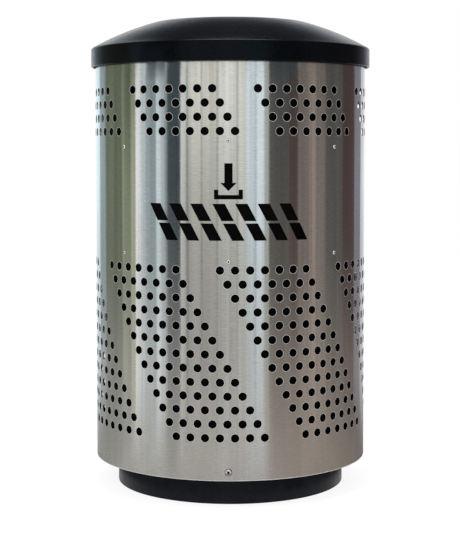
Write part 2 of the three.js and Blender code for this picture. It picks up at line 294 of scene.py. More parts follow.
def zinc_plate():
    """Nuts and hidden bolts: dull, faintly mottled zinc."""
    material, nodes, place, shader = new_material("zinc_plate")
    mottle = nodes.noise(place, 240.0, 4.0)
    nodes.fill(shader, {
        "Base Color": nodes.tint(mottle, (0.50, 0.51, 0.50), (0.68, 0.68, 0.66)),
        "Roughness": nodes.remap(mottle, 0.32, 0.48),
        "Normal": nodes.bump(mottle, 0.1, 0.05 * MM),
        "Metallic": 1.0,
    })
    return material


def textured_black():
    """Black powder coat with a fine pebbled texture, on the dome top and its seat ring."""
    material, nodes, place, shader = new_material("textured_black")
    pebbles = nodes.noise(place, 430.0, 3.0)
    sheen = nodes.noise(place, 14.0, 3.0)
    pebbled, worn = nodes.remap(pebbles, 0.15, 0.27), nodes.remap(sheen, -0.03, 0.03)
    nodes.fill(shader, {
        "Base Color": nodes.tint(pebbles, (0.0006, 0.0008, 0.0012), (0.0035, 0.004, 0.005), 0.35),
        "Roughness": nodes.math("ADD", pebbled, worn),
        "Normal": nodes.bump(pebbles, 0.45, 0.4 * MM),
        "Specular IOR Level": 0.15,
        # The blue specular tint is a painted reflection of sky.
        "Specular Tint": (0.38, 0.5, 0.62, 1),
    })
    return material


def satin_black():
    """Smooth satin black coat on the plinth and the base pan, with handling marks."""
    material, nodes, place, shader = new_material("satin_black")
    marks = nodes.noise(place, 26.0, 5.0, 0.6)
    peel = nodes.noise(place, 320.0, 2.0)
    nodes.fill(shader, {
        "Base Color": nodes.tint(marks, (0.0075, 0.008, 0.010), (0.014, 0.0145, 0.018), 0.35),
        "Roughness": nodes.remap(marks, 0.28, 0.42),
        "Normal": nodes.bump(peel, 0.12, 0.1 * MM),
        "Specular IOR Level": 0.09,
        "Specular Tint": (0.7, 0.85, 1.0, 1),
    })
    return material


def matt_black(name, dark, light, specular):
    """Matt black with a fine grain and rub marks, as on moulded plastic."""
    material, nodes, place, shader = new_material(name)
    grain = nodes.noise(place, 1100.0, 2.0)
    rubs = nodes.noise(place, 18.0, 5.0, 0.6)
    nodes.fill(shader, {
        "Base Color": nodes.tint(rubs, dark, light, 0.35, 0.75),
        "Roughness": nodes.remap(rubs, 0.5, 0.68),
        "Normal": nodes.bump(grain, 0.2, 0.1 * MM),
        "Specular IOR Level": specular,
    })
    return material


STEEL = brushed_steel()
BRIGHT = bare_metal("polished_steel", (0.78, 0.78, 0.78), (0.92, 0.92, 0.92), 0.06, 0.12)
BURNISHED = bare_metal("burnished_edge", (0.72, 0.71, 0.70), (0.82, 0.81, 0.80), 0.38, 0.5, 0.55)
# Near-black metal: painted shade on the walls of cuts and holes, where light hardly falls.
SHADED = bare_metal("edge_in_painted_shade", (0.012, 0.012, 0.012), (0.03, 0.03, 0.03), 0.5, 0.65)
RIVET = bare_metal("rivet_aluminium", (0.90, 0.90, 0.90), (0.98, 0.98, 0.98), 0.14, 0.22, 0.3)
ZINC = zinc_plate()
COAT = textured_black()
SATIN = satin_black()
PLASTIC = matt_black("liner_plastic", (0.0030, 0.0030, 0.0033), (0.0075, 0.0075, 0.008), 0.16)
# Painted deep shade: the sheet behind the sign's cut-outs, the sockets and dimples of the fasteners, and
# the painted contact shadow round their heads.
PAINTED_SHADE = matt_black("painted_shade_black", (0.0008, 0.0008, 0.001), (0.0025, 0.0025, 0.003), 0.03)

# ---------------------------------------------------------------- the perforated shell

COLUMNS = [SKEW + PITCH * j / STEPS for j in range(-EDGE_PITCH * STEPS, EDGE_PITCH * STEPS + 1)]
SEAM_STEP = (TAU - (COLUMNS[-1] - COLUMNS[0])) / SEAM_COLUMNS
COLUMNS += [COLUMNS[-1] + SEAM_STEP * j for j in range(1, SEAM_COLUMNS)]

# The finishes of the sheet's faces, and the materials in their order. The last is painted shade on the
# walls of cuts and holes and on the inner part of each rolled edge.
BRUSHED, ROLLED, SHADE_PAINTED = range(3)
FINISHES = (STEEL, BURNISHED, SHADED)


class Sheet:
    """The rolled sheet as points and faces, each face with the normals of its corners."""

    ANGLE_GRID = 1e6  # angles that round to the same number of these parts of a radian are one
    LENGTH_GRID = 1e7  # and so are lengths, in parts of a metre

    def __init__(self):
        self.places = {}
        self.points = []
        self.faces = []
        self.normals = []
        self.finishes = []

    def point(self, angle, height, depth=0.0):
        """The number of the point at this angle and height, this deep below the outside."""
        key = (round(angle * self.ANGLE_GRID), *(round(x * self.LENGTH_GRID) for x in (height, depth)))
        if key not in self.places:
            self.places[key] = len(self.points)
            place = outward(angle) * (SHELL_RADIUS - depth)
            self.points.append((place.x, place.y, height))
        return self.places[key]

    def face(self, corners, normals=None, finish=BRUSHED):
        """A face through numbered points; without normals it is a flat cut edge."""
        self.faces.append(corners)
        self.finishes.append(finish)
        if normals is None:
            a, b, c = (Vector(self.points[i]) for i in corners[:3])
            normals = [(b - a).cross(c - a).normalized()] * len(corners)
        self.normals.append(normals)

    def both_sides(self, outline):
        """A face on the outside and its match on the inside; outline is (angle, height) points."""
        out = [outward(angle) for angle, _ in outline]
        self.face([self.point(a, z) for a, z in outline], out)
        inner = [self.point(a, z, SHEET) for a, z in reversed(outline)]
        self.face(inner, [-n for n in reversed(out)])

    def cut_edge(self, start, end):
        """The thickness of the sheet along a cut from one (angle, height) to the next, in painted shade.
        """
        corners = [self.point(*end), self.point(*start)]
        corners += [self.point(*start, SHEET), self.point(*end, SHEET)]
        self.face(corners, finish=SHADE_PAINTED)

    def mesh(self, name):
        mesh = bpy.data.meshes.new(name)
        mesh.from_pydata(self.points, [], self.faces)
        mesh.update()
        for polygon, finish in zip(mesh.polygons, self.finishes):
            polygon.use_smooth = True
            polygon.material_index = finish
        mesh.normals_split_custom_set([tuple(n) for corners in self.normals for n in corners])
        return mesh


def column(j):
    """The angle of a column; the numbers go on counting past the last one."""
    return COLUMNS[j % len(COLUMNS)]


def punched_hole(sheet, middle, height):
    """The square of sheet round one hole with its rolled edge; middle is a column's number."""
    side = range(-HALF, HALF)
    walk = [(HALF, s) for s in side] + [(-s, HALF) for s in side]
    walk += [(-HALF, -s) for s in side] + [(s, -HALF) for s in side]
    centre = column(middle)
    square = [(column(middle + j), height + STEP * s) for j, s in walk]
    turns = [TAU * (i / len(walk) - 1 / 8) for i in range(len(walk))]

    def ring(radius, depth):
        places = []
        for t in turns:
            places.append((centre + radius * math.cos(t) / SHELL_RADIUS, height + radius * math.sin(t)))
        return places, [sheet.point(a, z, depth) for a, z in places]

    def lean(t, place, share):
        """The normal on the rolled edge, which turns from the outside's to the hole's wall's."""
        wall = -(around(centre) * math.cos(t) + Vector((0, 0, math.sin(t))))
        return outward(place[0]) * math.cos(share * QUARTER) + wall * math.sin(share * QUARTER)

    outer_square = [sheet.point(a, z) for a, z in square]
    inner_square = [sheet.point(a, z, SHEET) for a, z in square]
    rings = []
    for share in ROLL_TURNS:
        radius = HOLE_RADIUS + ROLL_WIDTH * (1 - math.sin(share * QUARTER))
        rings.append(ring(radius, ROLL_DEPTH * (1 - math.cos(share * QUARTER))))
    first_places, first = rings[0]
    last_places, last = rings[-1]
    back_places, back = ring(HOLE_RADIUS, SHEET)
    for i in range(len(walk)):
        k = (i + 1) % len(walk)
        angles = [place[0] for place in (square[i], square[k], first_places[k], first_places[i])]
        sheet.face([outer_square[i], outer_square[k], first[k], first[i]], [outward(a) for a in angles])
        rolled = zip(rings, rings[1:], ROLL_TURNS, ROLL_TURNS[1:])
        for (near_places, near), (far_places, far), a, b in rolled:
            normals = [lean(turns[i], near_places[i], a), lean(turns[k], near_places[k], a)]
            normals += [lean(turns[k], far_places[k], b), lean(turns[i], far_places[i], b)]
            # Past its first band the rolled edge takes painted shade, and so does the hole's wall.
            sheet.face([near[i], near[k], far[k], far[i]], normals, SHADE_PAINTED if a else ROLLED)
        wall = [lean(turns[j], last_places[j], 1) for j in (i, k, k, i)]
        sheet.face([last[i], last[k], back[k], back[i]], wall, SHADE_PAINTED)
        angles = [place[0] for place in (square[k], square[i], back_places[i], back_places[k])]
        sheet.face([inner_square[k], inner_square[i], back[i], back[k]], [-outward(a) for a in angles])


def punched_band(sheet, band):
    """Rows of holes in slanting groups. Gives the heights of the band's lower and upper edges."""
    starts = [start + k for start in band["starts"] for k in range(GROUP_HOLES)]
    for row in range(band["rows"]):
        height = band["top"] - row * ROW
        shift = (band["offset"] + row / 2 + EDGE_PITCH) * STEPS
        middles = [round(start * STEPS + shift) for start in starts]
        taken = {j for middle in middles for j in range(middle - HALF, middle + HALF)}
        for middle in middles:
            punched_hole(sheet, middle, height)
        for j in range(len(COLUMNS)):
            if j in taken:
                continue
            a, b = column(j), column(j + 1)
            for s in range(-HALF, HALF):
                bottom, top = height + STEP * s, height + STEP * (s + 1)
                sheet.both_sides([(a, bottom), (b, bottom), (b, top), (a, top)])
    return band["top"] - (band["rows"] - 0.5) * ROW, band["top"] + 0.5 * ROW


CUT_NEAR = 1e-7  # points of a cut zone that are nearer than this are one
BORDER_NEAR = 1e-6  # a point nearer to the border than this lies on it


def cut_zone(sheet, bottom, top, outlines):
    """Sheet from bottom to top with cut-outs, each a list of (angle, height) points."""
    columns = COLUMNS + [COLUMNS[0] + TAU]
    flat = [Vector((a * SHELL_RADIUS, z)) for a in columns for z in (bottom, top)]
    edges = [(2 * j, 2 * j + 1) for j in range(len(columns))]
    edges += [(2 * j + side, 2 * j + 2 + side) for j in range(len(columns) - 1) for side in (0, 1)]
    for outline in outlines:
        first = len(flat)
        flat += [Vector((a * SHELL_RADIUS, z)) for a, z in outline]
        edges += [(first + i, first + (i + 1) % len(outline)) for i in range(len(outline))]
    found, _, faces, sources, _, _ = delaunay_2d_cdt(flat, edges, [], 0, CUT_NEAR)
    places = []
    for place, source in zip(found, sources):
        from_column = [i for i in source if i < 2 * len(columns)]
        if from_column:
            j, side = divmod(from_column[0], 2)
            places.append((column(j), (bottom, top)[side]))
        else:
            places.append((place.x / SHELL_RADIUS, place.y))
    kept = []
    for face in faces:
        middle = sum((found[i] for i in face), Vector((0, 0))) / len(face)
        point = (middle.x / SHELL_RADIUS, middle.y)
        if not any(inside(point, outline) for outline in outlines):
            kept.append(face)
            sheet.both_sides([places[i] for i in face])
    sides = {(face[i - 1], face[i]) for face in kept for i in range(len(face))}
    for a, b in sides:
        if (b, a) in sides or on_border(found[a], found[b], bottom, top, columns):
            continue
        sheet.cut_edge(places[a], places[b])


def on_border(a, b, bottom, top, columns):
    """Whether an edge of a zone's flat sheet lies on the zone's own border."""
    level = any(abs(a.y - z) < BORDER_NEAR and abs(b.y - z) < BORDER_NEAR for z in (bottom, top))
    ends = (columns[0] * SHELL_RADIUS, columns[-1] * SHELL_RADIUS)
    return level or any(abs(a.x - x) < BORDER_NEAR and abs(b.x - x) < BORDER_NEAR for x in ends)


def round_cut(node, radius):
    """The outline of a round hole in the sheet for a fastener, as (angle, height) points."""
    angle, height = place_of(node)
    circle = []
    for i in range(ROUND_CUT_SIDES):
        a = TAU * i / ROUND_CUT_SIDES
        circle.append((angle + radius * math.cos(a) / SHELL_RADIUS, height + radius * math.sin(a)))
    return circle


def bar_cuts():
    """Both halves of each leaning bar, as (distance from the front, height) points."""
    half = (BAR_HEIGHT - BAR["bridge"]) / 2
    cuts = []
    for i in range(BARS):
        middle = (i - (BARS - 1) / 2) * BAR["pitch"]
        for start in (0, half + BAR["bridge"]):
            cut = []
            for side, z in ((-1, start), (1, start), (1, start + half), (-1, start + half)):
                leaned = middle + BAR["lean"] * (0.5 - z / BAR_HEIGHT)
                cut.append((leaned + side * BAR["width"] / 2, BAR_BOTTOM + z))
            cuts.append(cut)
    return cuts


def icon_cuts():
    """The arrow and the tray below it, as (distance from the front, height) points."""
    bottom = ICON["bottom"]
    floor = bottom + ICON["tray_wall"]
    rise = bottom + ICON["tray_rise"]
    side = ICON["width"] / 2
    inner = side - ICON["tray_wall"]
    stem, head = ICON["stem"] / 2, ICON["head"] / 2
    tip = floor + ICON["air"]
    wing = tip + head
    top = bottom + ICON["height"]
    arrow = [
        (0, tip), (head, wing), (stem, wing), (stem, top), (-stem, top), (-stem, wing), (-head, wing),
    ]
    tray = [
        (-side, bottom), (side, bottom), (side, rise), (inner, rise),
        (inner, floor), (-inner, floor), (-inner, rise), (-side, rise),
    ]
    return [arrow, tray]


def outer_shell():
    sheet = Sheet()
    lower_bottom, lower_top = punched_band(sheet, LOWER_BAND)
    upper_bottom, upper_top = punched_band(sheet, UPPER_BAND)
    sign_cuts = [[(x / SHELL_RADIUS, z) for x, z in cut] for cut in bar_cuts() + icon_cuts()]
    bolt_cuts = [round_cut(bolt, BOLT_HOLE) for bolt in SHELL_BOLTS]
    rivet_cuts = [round_cut(rivet, RIVET_HOLE) for rivet in RIVETS]
    cut_zone(sheet, SHELL_BOTTOM + FOOT_EDGE, lower_bottom, bolt_cuts)
    cut_zone(sheet, lower_top, upper_bottom, sign_cuts + rivet_cuts)
    fold = arc((SHEET, SHELL_TOP - SHEET), SHEET, 180, 0, 4)
    hem = [(2 * SHEET, SHELL_TOP - HEM_DEPTH), (SHEET, SHELL_TOP - HEM_DEPTH), (SHEET, upper_top)]
    turned_rows(sheet, [(0, upper_top)] + fold + hem)
    foot = [(SHEET, SHELL_BOTTOM + FOOT_EDGE), (SHEET, SHELL_BOTTOM)]
    foot += arc((FOOT_ROLL, SHELL_BOTTOM + FOOT_ROLL), FOOT_ROLL, -90, -180, 3)
    turned_rows(sheet, foot + [(0, SHELL_BOTTOM + FOOT_EDGE)], ROLLED)
    mesh = sheet.mesh("perforated_shell")
    add_mesh("perforated_shell", mesh, FINISHES, ["outer_shell"])


GENTLE = 0.6  # the cosine of the sharpest bend that is shaded as if it were round


def turned_rows(sheet, profile, finish=BRUSHED):
    """Rows of faces all round along a profile of (depth, height), rounded where it bends gently."""
    slopes = []
    for (d, z), (e, y) in zip(profile, profile[1:]):
        slopes.append(Vector((y - z, e - d)).normalized())
    for k, ((d, z), (e, y)) in enumerate(zip(profile, profile[1:])):
        own = slopes[k]
        ends = []
        for neighbour in (k - 1, k + 1):
            gentle = 0 <= neighbour < len(slopes) and own.dot(slopes[neighbour]) > GENTLE
            ends.append((own + slopes[neighbour]).normalized() if gentle else own)
        for j in range(len(COLUMNS)):
            a, b = column(j), column(j + 1)
            corners = [(a, z, d, ends[0]), (b, z, d, ends[0]), (b, y, e, ends[1]), (a, y, e, ends[1])]
            points = [sheet.point(angle, height, depth) for angle, height, depth, _ in corners]
            normals = [outward(angle) * n.x + Vector((0, 0, n.y)) for angle, _, _, n in corners]
            sheet.face(points, normals, finish)


outer_shell()

# ---------------------------------------------------------------- turned pieces

ROUND = 192  # sides of a turned piece
DOME_ROUND = 256
TINY = 1e-9  # a radius or an angle below this counts as none
SHARP = math.radians(32)  # edges that bend more than this stay sharp


def turned_mesh(name, profile, sides=ROUND, start=0.0, sweep=TAU):
    """A closed profile of (radius, height) points turned about Z, from the start angle on."""
    whole = abs(sweep - TAU) < TINY
    area = sum(r * y - s * z for (r, z), (s, y) in zip(profile, profile[1:] + profile[:1]))
    if area < 0:
        profile = profile[::-1]
    mesh = bmesh.new()
    rings = []
    for i in range(sides if whole else sides + 1):
        way = outward(start + sweep * i / sides)
        ring = []
        for k, (radius, height) in enumerate(profile):
            shared = radius < TINY and rings
            ring.append(rings[0][k] if shared else mesh.verts.new(way * radius + Vector((0, 0, height))))
        rings.append(ring)
    pairs = list(zip(rings, rings[1:])) + ([(rings[-1], rings[0])] if whole else [])
    for near, far in pairs:
        for k in range(len(profile)):
            m = (k + 1) % len(profile)
            corners = []
            for vertex in (near[k], far[k], far[m], near[m]):
                if vertex not in corners:
                    corners.append(vertex)
            if len(corners) > 2:
                mesh.faces.new(corners)
    if not whole:
        mesh.faces.new(rings[0])
        mesh.faces.new(rings[-1][::-1])
    bmesh.ops.recalc_face_normals(mesh, faces=mesh.faces)
    for face in mesh.faces:
        face.smooth = True
    for edge in mesh.edges:
        if len(edge.link_faces) == 2 and edge.calc_face_angle(0) > SHARP:
            edge.smooth = False
    made = bpy.data.meshes.new(name)
    mesh.to_mesh(made)
    mesh.free()
    return made


# The dome top: a rim band with a rolled hem, a rounded shoulder, a part of a sphere, a round crown
# and a collar that turns down into the throw-in opening.
LID_SHEET = 1.5 * MM
DOME_RADIUS = 636 * MM
SHOULDER = 6 * MM
CROWN = 85 * MM
CROWN_CIRCLE = 153 * MM
LIP = 8 * MM
COLLAR = 26 * MM
OPENING_RADIUS = 127 * MM
BAND_HEM = 2.2 * MM  # radius of the rolled hem
HEM_RISE = 3 * BAND_HEM  # how far the hem's inner leg reaches up the band


def angle_of(place, middle):
    """The angle of a place round a middle, in degrees."""
    return math.degrees(math.atan2(place[1] - middle[1], place[0] - middle[0]))


def dome_top():
    band_radius = high("dome_top")[0]
    band_bottom = low("dome_top")[2]
    crown = (CROWN_CIRCLE, high("dome_top")[2] - CROWN)
    dome = (0, crown[1] - math.sqrt((DOME_RADIUS - CROWN) ** 2 - CROWN_CIRCLE**2))
    reach = band_radius - SHOULDER
    shoulder = (reach, dome[1] + math.sqrt((DOME_RADIUS - SHOULDER) ** 2 - reach**2))
    lip_radius = OPENING_RADIUS + LIP
    lip = (lip_radius, crown[1] + math.sqrt((CROWN - LIP) ** 2 - (CROWN_CIRCLE - lip_radius) ** 2))
    to_lip = angle_of(lip, crown)
    to_crown = angle_of(crown, dome)
    to_shoulder = angle_of(shoulder, dome)

    def sheet_line(thickness):
        line = [(OPENING_RADIUS + thickness, lip[1] - COLLAR)]
        line += arc(lip, LIP - thickness, 180, to_lip, 8)
        line += arc(crown, CROWN - thickness, to_lip, to_crown, 10)[1:]
        line += arc(dome, DOME_RADIUS - thickness, to_crown, to_shoulder, 14)[1:-1]
        line += arc(shoulder, SHOULDER - thickness, to_shoulder, 0, 8)
        return line

    hem = (band_radius - BAND_HEM, band_bottom + BAND_HEM)
    roll = arc(hem, BAND_HEM, 0, -180, 8)
    roll += [(hem[0] - BAND_HEM, hem[1] + HEM_RISE), (band_radius - LID_SHEET, hem[1] + HEM_RISE)]
    mesh = turned_mesh("spun_dome", sheet_line(0) + roll + sheet_line(LID_SHEET)[::-1], DOME_ROUND)
    add_mesh("spun_dome", mesh, [COAT], ["dome_top"], "lid")


def seat_ring():
    """The ring inside the dome top that rests on the shell's hem."""
    sheet, play = 2 * MM, 1.2 * MM
    top = high("lid_seat_ring")[2]
    outside = high("lid_seat_ring")[0]
    foot = low("lid_seat_ring")[2]
    leg_outside = SHELL_RADIUS - 2 * SHEET - play
    leg_inside = leg_outside - sheet
    bend = (leg_inside + sheet, top - sheet)
    profile = [(leg_inside, foot), (leg_outside, foot), bend, (outside, top - sheet), (outside, top)]
    profile += arc(bend, sheet, 90, 180, 4)
    mesh = turned_mesh("seat_ring", profile)
    add_mesh("seat_ring", mesh, [COAT], ["lid_seat_ring"], "lid")


def liner():
    """The rigid liner, with a rolled rim, a slight taper and a raised floor on a foot ring."""
    rim = high("liner")[0]
    base, top = low("liner")[2], high("liner")[2]
    reach, drop, rim_wall, taper = 6 * MM, 15 * MM, 3 * MM, 6 * MM
    wall, floor, foot_width, foot_rise = 3.5 * MM, 4 * MM, 18 * MM, 8 * MM
    upper = rim - reach
    lower = upper - taper
    foot = lower - foot_width
    floor_top = base + foot_rise + floor
    bend = 2 * floor
    roll = rim_wall / 2
    profile = [(0, base + foot_rise), (foot - foot_rise, base + foot_rise), (foot, base)]
    profile += arc((lower - floor, base + floor), floor, -90, 0, 4)
    profile += [(upper, top - rim_wall), (rim - rim_wall, top - rim_wall)]
    profile += [(rim - rim_wall, top - drop), (rim, top - drop)]
    profile += arc((rim - roll, top - roll), roll, 0, 90, 4)
    profile += arc((upper - wall + roll, top - roll), roll, 90, 180, 4)
    profile += arc((lower - wall - bend, floor_top + bend), bend, 0, -90, 6)
    profile += [(0, floor_top)]
    mesh = turned_mesh("rigid_liner", profile)
    add_mesh("rigid_liner", mesh, [PLASTIC], ["liner"], "liner")


def base_pan():
    """The pan's floor and upturned flange. Its drain and bolt holes are in the solid only."""
    outside = high("base_pan")[0]
    under, rim = low("base_pan")[2], high("base_pan")[2]
    sheet, bend = 2 * MM, 6 * MM
    corner = (outside - bend, under + bend)
    profile = [(0, under)] + arc(corner, bend, -90, 0, 6)
    profile += [(outside, rim), (outside - sheet, rim)]
    profile += arc(corner, bend - sheet, 0, -90, 6) + [(0, under + sheet)]
    add_mesh("pan", turned_mesh("pan", profile), [SATIN], ["base_pan"])


def plinth():
    """The ring on the floor, with a flange at its top and its foot, and softened edges."""
    outside = high("plinth_ring")[0]
    top = high("plinth_ring")[2]
    sheet, top_flange, foot_flange, edge = 2 * MM, 32 * MM, 20 * MM, 1.5 * MM
    wall = outside - sheet
    profile = arc((outside - edge, edge), edge, -90, 0, 4)
    profile += arc((outside - edge, top - edge), edge, 0, 90, 4)
    profile += [(wall - top_flange, top), (wall - top_flange, top - sheet), (wall, top - sheet)]
    profile += [(wall, sheet), (wall - foot_flange, sheet), (wall - foot_flange, 0)]
    add_mesh("plinth", turned_mesh("plinth", profile), [SATIN], ["plinth_ring"])


def sign_back():
    """The curved black sheet behind the sign's cut-outs."""
    _, _, bottom = low("sign_panel")
    right, _, top = high("sign_panel")
    thickness, gap, sides = 1 * MM, 0.3 * MM, 56
    outside = SHELL_RADIUS - SHEET - gap
    inner = outside - thickness
    half = math.asin(right / outside)
    profile = [(inner, bottom), (outside, bottom), (outside, top), (inner, top)]
    mesh = turned_mesh("sign_back", profile, sides, -half, 2 * half)
    # The sign's sheet is black, and is made darker still as painted shade behind the cut-outs.
    add_mesh("sign_back", mesh, [PAINTED_SHADE], ["sign_panel"])


dome_top()
seat_ring()
liner()
base_pan()
plinth()
sign_back()

# ---------------------------------------------------------------- fasteners

SIXTH = TAU / 6  # of a turn, between the flats of a hexagon


def put_outwards(mesh, angle, radius, height):
    """Turns a mesh that points along +Z so that it points outwards, its origin at that place."""
    turn = Matrix((around(angle), (0, 0, 1), outward(angle))).transposed().to_4x4()
    mesh.transform(Matrix.Translation(outward(angle) * radius + Vector((0, 0, height))) @ turn)


def painted_shadow_rim(head):
    """The profile of a thin dark ring round a head, from its underside up: a painted contact shadow."""
    width, outer_height, inner_height = 0.7 * MM, 0.04 * MM, 0.05 * MM
    return [(head + width, 0), (head + width, outer_height), (head, inner_height)]


def shell_bolt(node):
    """A button-head bolt with a hexagon socket and a shank through the shell and the pan's flange."""
    angle, height = place_of(node)
    head, rise, shank, edge = 7.15 * MM, 3.6 * MM, 3.2 * MM, 0.9 * MM
    socket, socket_depth = 3.1 * MM, 2.2 * MM
    length, stand_off = 12 * MM, 0.3 * MM
    steps, near = 8, 0.01 * MM
    profile = [(0, -length), (shank, -length), (shank, 0), *painted_shadow_rim(head), (head, edge)]
    for i in range(1, steps):
        a = QUARTER * i / steps
        profile.append((head * math.cos(a), edge + (rise - edge) * math.sin(a)))
    profile[-1] = (socket, profile[-1][1])
    profile += [(socket, rise - socket_depth), (0, rise - socket_depth)]
    mesh = turned_mesh(node, profile, 42)
    for vertex in mesh.vertices:
        across = Vector(vertex.co[:2])
        if abs(across.length - socket) < near:
            turn = math.atan2(across.x, -across.y) % SIXTH - SIXTH / 2
            vertex.co.xy = across * (math.cos(SIXTH / 2) / math.cos(turn))
    for polygon in mesh.polygons:
        across = Vector(polygon.center[:2]).length
        # The socket and a thin ring round the head take painted shade.
        polygon.material_index = int((across < socket and polygon.center.z > 0) or across > head)
    put_outwards(mesh, angle, SHELL_RADIUS + stand_off, height)
    add_mesh(f"{node}_head", mesh, [BRIGHT, PAINTED_SHADE], [node])


def sign_rivet(node):
    """A blind rivet: a low dome with the dimple of its drawn pin, its shank and its tail."""
    angle, height = place_of(node)
    head, rise, edge, shank = 3.95 * MM, 1.3 * MM, 0.3 * MM, 2 * MM
    dimple, pin = 2.8 * MM, 1.6 * MM
    grip, tail, tail_end, tail_length = 3.2 * MM, 2.9 * MM, 2.03 * MM, 2.6 * MM
    stand_off, steps, near = 0.2 * MM, 6, 0.03 * MM
    profile = [(0, -grip - tail_length), (tail_end, -grip - tail_length)]
    profile += [(tail, -grip - tail_length / 2), (tail, -grip), (shank, -grip), (shank, 0)]
    profile += painted_shadow_rim(head)
    for i in range(steps + 1):
        a = QUARTER * i / steps
        radius = dimple + (head - dimple) * math.cos(a)
        profile.append((radius, edge + (rise - edge) * math.sin(a)))
    profile += [(dimple, rise - pin), (0, rise - pin)]
    mesh = turned_mesh(node, profile, 32)
    for polygon in mesh.polygons:
        across = Vector(polygon.center[:2]).length
        in_dimple = across < dimple + near and polygon.center.z > -shank / 2
        # The pin's dimple and a thin ring round the head take painted shade.
        polygon.material_index = int(in_dimple or across > head)
    put_outwards(mesh, angle, SHELL_RADIUS + stand_off, height)
    add_mesh(f"{node}_head", mesh, [RIVET, PAINTED_SHADE], [node])


def plate_hidden_fasteners():
    """The nuts and the plinth's bolts keep their CAD shapes and are only plated."""
    for name, node in frame["nodes"].items():
        if "nut" in name or "plinth_bolt" in name:
            node.data.materials.clear()
            node.data.materials.append(ZINC)


for bolt in SHELL_BOLTS:
    shell_bolt(bolt)
for rivet in RIVETS:
    sign_rivet(rivet)
plate_hidden_fasteners()

# ---------------------------------------------------------------- the ring of painted panels

# Painted panels stand in a ring round the set, and the steel mirrors them. Each reaches up to the
# angle given in degrees from the front. A paint's colour is what the steel shows of it.
PANEL_RING = 1.3
PANEL_STEP = 4  # degrees between the corners of a panel's faces
STEEL_SHARE = 0.62  # of a panel's light, which the steel mirrors
PAINTS = {
    "white": (0.66, 0.68, 0.70),
    "sky": (0.60, 0.70, 0.76),
    "haze": (0.42, 0.48, 0.51),
    "pale": (0.60, 0.61, 0.59),
    "cream": (0.53, 0.53, 0.49),
    "stone": (0.36, 0.38, 0.35),
    "slate": (0.24, 0.30, 0.32),
    "olive": (0.21, 0.23, 0.16),
    "moss": (0.12, 0.14, 0.10),
    "clay": (0.23, 0.19, 0.17),
    "earth": (0.15, 0.13, 0.12),
    "char": (0.072, 0.070, 0.068),
    "dusk": (0.16, 0.16, 0.19),
    "umber": (0.06, 0.042, 0.04),
    "night": (0.035, 0.05, 0.06),
    "mist": (0.50, 0.51, 0.56),
}
PANELS_START = -150
PANELS = [
    (-133, "sky"), (-118, "slate"), (-91.5, "moss"), (-89.5, "olive"), (-81, "moss"),
    (-76, "olive"), (-71, "white"), (-65.5, "haze"), (-56, "slate"), (-52, "sky"),
    (-49, "haze"), (-46.8, "slate"), (-36, "night"), (-31.7, "pale"), (-30, "slate"),
    (-20.8, "cream"), (-19.4, "stone"), (-9.3, "cream"), (-7.8, "stone"), (5, "pale"),
    (6.5, "stone"), (12.5, "pale"), (18.3, "sky"), (19.7, "haze"), (25.5, "sky"),
    (28.8, "stone"), (45, "char"), (52, "umber"), (62, "earth"), (68.5, "clay"),
    (77.5, "earth"), (98, "char"), (118, "umber"), (134, "dusk"), (150, "mist"),
]
# Heights on the panels, how much of the panel's own paint shows there over the ground's, how light
# the ground's is, and how much of RING_LIGHT's two values counts there.
PANEL_ROWS = [
    (0, 0.32, 0.89, 0.3, 0), (0.1, 0.42, 0.89, 1, 0), (0.25, 0.6, 0.6, 0.5, 0.5),
    (0.45, 0.78, 0.3, 0, 1), (0.65, 1, 0.3, 0, 0.85), (0.9, 1, 0.2, 0, -0.45),
    (1.1, 0.88, 0.1, 0, -0.35), (2.6, 0.88, 0.1, 0, 0),
]
# How light the panels' low and middle parts are next to their upper part, at angles from the front.
RING_LIGHT = [
    (-150, (1.2, 1.0)), (-92, (1.3, 1.15)), (-86, (1.5, 1.75)), (-78, (1.45, 1.4)),
    (-74, (1.45, 1.0)), (-50, (1.45, 0.93)), (-36.5, (1.1, 1.0)), (-33, (0.66, 0.6)),
    (-29, (0.7, 0.66)), (2, (0.7, 0.65)), (10, (0.85, 0.85)), (16, (1.0, 1.0)),
    (45, (1.12, 1.05)), (70, (1.22, 1.12)), (150, (1.25, 1.1)),
]
# Between these angles the panels are painted night-dark from this height up: a painted reflection that
# the steel shows as dark wedges just under the lid's band.
DARK_WEDGES = [(-66, -49), (28, 52)]
DARK_WEDGE_BOTTOM = 1
# The warm grey ground between the panels, at angles from the front.
GROUND = [
    (-150, (0.26, 0.26, 0.26)),
    (-100, (0.28, 0.28, 0.27)),
    (-70, (0.40, 0.39, 0.37)),
    (20, (0.42, 0.40, 0.38)),
    (32, (0.35, 0.31, 0.28)),
    (75, (0.28, 0.24, 0.21)),
    (115, (0.17, 0.15, 0.14)),
    (150, (0.20, 0.19, 0.18)),
]
GROUND_HEIGHT = 1 * MM
# How light the ground is at distances from the shell: it lies in the object's shadow close to it.
NEAR_GROUND = [(8 * MM, 0.06), (60 * MM, 0.15), (160 * MM, 0.85)]
# Heights and colours of the dark canopy over the panels, and of its back, which starts lower.
CANOPY = [(2.6, (0.12, 0.13, 0.13)), (3.0, (0.03, 0.03, 0.035)), (3.6, (0.03, 0.03, 0.035))]
CANOPY_BEHIND = [(1.5, (0.5, 0.55, 0.6)), (1.9, (0.05, 0.055, 0.06)), (3.6, (0.03, 0.03, 0.035))]
CANOPY_STEP = 10  # degrees between the canopy's corners
CANOPY_MIDDLE = 0.01  # the radius to which its top closes


def blend(a, b, share):
    return [x + (y - x) * share for x, y in zip(a, b)]


def at_angle(table, angle):
    """The values of a table of (angle, values) rows at an angle, blended between its rows."""
    for (a, near), (b, far) in zip(table, table[1:]):
        if angle <= b:
            return blend(near, far, max(0, angle - a) / (b - a))
    return table[-1][1]


